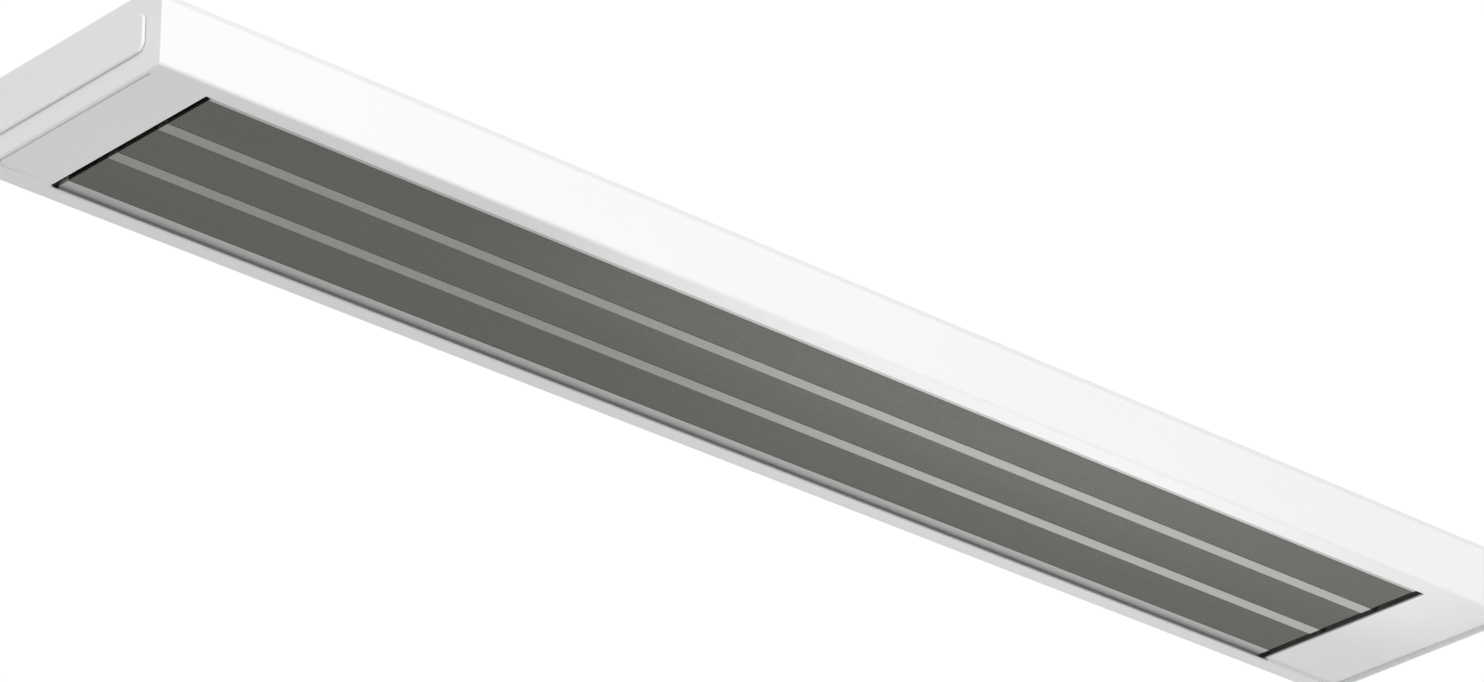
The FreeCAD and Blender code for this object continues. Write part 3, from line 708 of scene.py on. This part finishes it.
low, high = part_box("terminal_block_screws")
block_base = high.x - BLOCK_HEIGHT
block_screws = CROSS_SCREW.make(
    "terminal_screw_set",
    [(block_base, across * (high.y - BLOCK_HEAD / 2), (low.z + high.z) / 2) for across in (-1, 1)],
    ZINC,
    head=BLOCK_HEAD, height=BLOCK_HEIGHT, shank=BLOCK_SHANK, reach=block_base - low.x,
    turn=(0.0, math.pi / 2, 0.0),
)
belongs(block_screws, "heater", "zinc_steel", "terminal_block_screws")

# %% [markdown]
# ## Weld marks
#
# The rail is spot-welded to the back, and so are the straps that carry the panel. A spot weld
# leaves a shallow dished ring, which stays plain to see in the rail and shows through the coat on
# the back. A drum with rings in its lid is pushed into that shape.

# %% Spot welds
CROWN_AT = 0.72
CROWN_SLOPE = 1.6
RAIL_SHEET = 0.001
RAIL_WELDS = 9
RAIL_WELD_INSET = 0.03
STRAPS = 4
STRAP_WELD_SIDE = 0.047


def weld_mark():
    recipe = Recipe("weld_mark", radius=0.0027, rise=0.0003)
    radius, rise = recipe.size("radius"), recipe.size("rise")
    disc = recipe.drum("TRIANGLE_FAN", Vertices=24, Fill_Segments=6, Radius=radius, Depth=rise)
    x, y, z = recipe.position()
    out = (x * x + y * y).root() / radius
    crown = 1.0 - abs(out - CROWN_AT) * CROWN_SLOPE
    dished = recipe.moved(disc, Position=recipe.vector(x, y, (z > 0.0) * rise * crown))
    recipe.repeat(dished)
    return recipe


WELD_MARK = weld_mark()
rail_low, rail_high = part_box("suspension_rail")
weld_pitch = (rail_high.x - rail_low.x - 2 * RAIL_WELD_INSET) / (RAIL_WELDS - 1)
first_weld = rail_low.x + RAIL_WELD_INSET
rail_welds = WELD_MARK.make(
    "rail_weld_marks",
    [(first_weld + weld_pitch * turn, 0.0, rail_low.z + RAIL_SHEET) for turn in range(RAIL_WELDS)],
    ZINC,
)
belongs(rail_welds, "heater", "zinc_steel")

strap_places = []
for strap in range(1, STRAPS + 1):
    low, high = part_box(f"panel_hanger_{strap}")
    for across in (-1, 1):
        strap_places.append(((low.x + high.x) / 2, across * STRAP_WELD_SIDE, rail_low.z))
strap_welds = WELD_MARK.make("strap_weld_marks", strap_places, WHITE, radius=0.0032, rise=0.00016)
belongs(strap_welds, "heater", "white_coat")

# %% [markdown]
# ## The cable grommet
#
# A moulded rubber bush has no sharp edges, and its upper side steps down in rings to the bore. It
# is turned from one outline, as it would be on a lathe, and stands for the plain solid.

# %% Grommet
GROMMET_OUTLINE = (
    (5.0, 6.6), (5.0, 0.4), (5.4, 0.0), (12.3, 0.0), (12.8, 0.2), (13.0, 0.7), (13.0, 2.3), (12.8, 2.8),
    (12.3, 3.0), (9.9, 3.0), (9.9, 4.0), (12.5, 4.0), (12.9, 4.2), (13.0, 4.5), (12.7, 4.8), (11.5, 5.2),
    (11.3, 5.1), (10.9, 5.1), (10.7, 5.4), (9.9, 5.9), (9.6, 5.8), (9.2, 5.9), (9.0, 6.3), (8.3, 6.8),
    (7.7, 7.0), (5.5, 7.0), (5.1, 6.9),
)


def smooth_piece(name, shape, finish, centre=(0, 0, 0)):
    """Ends the work on a shape: smooth shading, its place, its finish."""
    for face in shape.faces:
        face.smooth = True
    mesh = bpy.data.meshes.new(name)
    shape.to_mesh(mesh)
    shape.free()
    mesh.transform(Matrix.Translation(centre))
    mesh.materials.append(finish)
    return new_piece(name, mesh)


def turned(name, outline, centre, finish, steps=64):
    """A closed outline in millimetres, out from the axis and up, spun about an upright axis."""
    lathe = bmesh.new()
    points = [lathe.verts.new((out / 1000, 0, up / 1000)) for out, up in outline]
    edges = [lathe.edges.new(pair) for pair in zip(points, points[1:] + points[:1])]
    bmesh.ops.spin(
        lathe, geom=points + edges, cent=(0, 0, 0), axis=(0, 0, 1), angle=math.tau, steps=steps,
        use_merge=True, use_duplicate=False,
    )
    bmesh.ops.remove_doubles(lathe, verts=lathe.verts, dist=SAME_POINT)
    bmesh.ops.recalc_face_normals(lathe, faces=lathe.faces)
    return smooth_piece(name, lathe, finish, centre)


low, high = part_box("cable_grommet")
grommet_foot = ((low.x + high.x) / 2, (low.y + high.y) / 2, low.z)
grommet = turned("cable_grommet_ringed", GROMMET_OUTLINE, grommet_foot, RUBBER)
belongs(grommet, "heater", "black_rubber", "cable_grommet")

# %% [markdown]
# ## The mineral wool mat
#
# The mat is soft: its faces are uneven and its edges are pulled, not sawn. A slab is cut into a
# fine net, and each point is drawn inwards by a slow noise, so that the mat never grows past the
# space that the solid holds.

# %% Wool mat
WOOL_PULL = 0.0014
WOOL_CUTS = (110, 14, 4)
WOOL_LUMPS = ((55.0, 0.6), (160.0, 0.4))


def wool_mat():
    low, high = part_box("insulation_mat")
    size, centre = high - low, (high + low) / 2
    mat = bmesh.new()
    bmesh.ops.create_cube(mat, size=1.0)
    for axis, cuts in enumerate(WOOL_CUTS):
        normal = Vector((0, 0, 0))
        normal[axis] = 1.0
        for cut in range(1, cuts):
            everything = mat.verts[:] + mat.edges[:] + mat.faces[:]
            at = normal * (cut / cuts - 0.5)
            bmesh.ops.bisect_plane(mat, geom=everything, plane_co=at, plane_no=normal)
    for point in mat.verts:
        point.co = Vector(point.co[i] * size[i] + centre[i] for i in range(3))
    mat.normal_update()
    for point in mat.verts:
        lumps = sum(noise.noise(point.co * scale) * share for scale, share in WOOL_LUMPS)
        point.co -= point.normal * WOOL_PULL * (0.5 + 0.5 * lumps)
    return smooth_piece("insulation_mat_wool", mat, WOOL)


wool = wool_mat()
belongs(wool, "heater", "mineral_wool", "insulation_mat")

# %% [markdown]
# ## Floor and sky
#
# A pale disc far below is the floor of the room. The sky is white and lights a little less from
# below. Behind the heater it is seen white, and greyer downwards, so the floor's end is soft.

# %% Floor and sky
FLOOR_LEVEL = -2.2
FLOOR_RADIUS = 2.9
LIGHT_FADE = (0.1, 0.2)
SEEN_FADE = (0.2, 0.3)


def pale_floor():
    floor = bmesh.new()
    bmesh.ops.create_circle(floor, cap_ends=True, segments=96, radius=FLOOR_RADIUS)
    mesh = bpy.data.meshes.new("studio_floor")
    floor.to_mesh(mesh)
    floor.free()
    mesh.transform(Matrix.Translation((0, 0, FLOOR_LEVEL)))
    paint = Finish("floor_paint", Specular_IOR_Level=0.2)
    tone = paint.blend(paint.noise(scale=3.0), (0.78, 0.78, 0.775), (0.82, 0.82, 0.815))
    mesh.materials.append(paint.surface(Base_Color=tone, Roughness=0.8))
    new_piece("studio_floor", mesh)


def white_sky(light_above, light_below, seen_above, seen_below):
    """A white sky with two strengths, one that lights and one that is seen. Both fade downwards."""
    sky = bpy.data.worlds.new("white_sky")
    sky.use_nodes = True
    graph = Graph(sky.node_tree)
    background = sky.node_tree.nodes["Background"]
    rays = graph.add("ShaderNodeLightPath", output="Is Camera Ray")
    height = graph.split(graph.add("ShaderNodeTexCoord", output="Generated"))[2]

    def faded(above, below, top, depth):
        return above - ((top - height) / depth).limited() * (above - below)

    light = faded(light_above, light_below, *LIGHT_FADE)
    seen = faded(seen_above, seen_below, *SEEN_FADE)
    graph.feed(background.inputs["Strength"], light + rays * (seen - light))
    background.inputs["Color"].default_value = (1.0, 1.0, 1.0, 1.0)
    scene.world = sky


pale_floor()
white_sky(light_above=0.74, light_below=0.59, seen_above=1.02, seen_below=0.50)

# %% [markdown]
# ## Lamps
#
# A large soft box on the near side makes the long side the brightest face. Two small boxes with
# narrow beams hang under the panel and light the near rim from inside, and a low one beyond the
# right end lifts the underside and the panel towards that end. The camera sees none of them.

# %% Lamps
def soft_box(name, place, aim, size, watts, spread=180):
    lamp = bpy.data.lights.new(name, "AREA")
    lamp.shape = "RECTANGLE"
    lamp.size, lamp.size_y = size
    lamp.energy = watts
    lamp.spread = math.radians(spread)
    box = bpy.data.objects.new(name, lamp)
    box.location = place
    box.rotation_mode = "QUATERNION"
    box.rotation_quaternion = (Vector(aim) - Vector(place)).to_track_quat("-Z", "Y")
    box.visible_camera = False
    scene.collection.objects.link(box)
    print(f"{name}: {watts} W, {size[0]} by {size[1]} m")


soft_box("near_box", place=(-1.5, -3.3, 0.3), aim=(-0.1, 0, -0.03), size=(4.0, 1.6), watts=72)
soft_box(
    "near_rim_box", place=(0.14, 0.02, -0.20), aim=(0.14, -0.068, -0.056), size=(0.7, 0.05),
    watts=0.046, spread=60,
)
soft_box(
    "near_field_box", place=(0.15, 0.04, -0.30), aim=(0.15, -0.068, -0.056), size=(0.4, 0.06),
    watts=0.046, spread=75,
)
soft_box("right_low_box", place=(1.35, 0.75, -0.95), aim=(0.35, 0, -0.05), size=(1.0, 0.8), watts=2.05)
scene.view_settings.view_transform = "Standard"
scene.view_settings.look = "None"
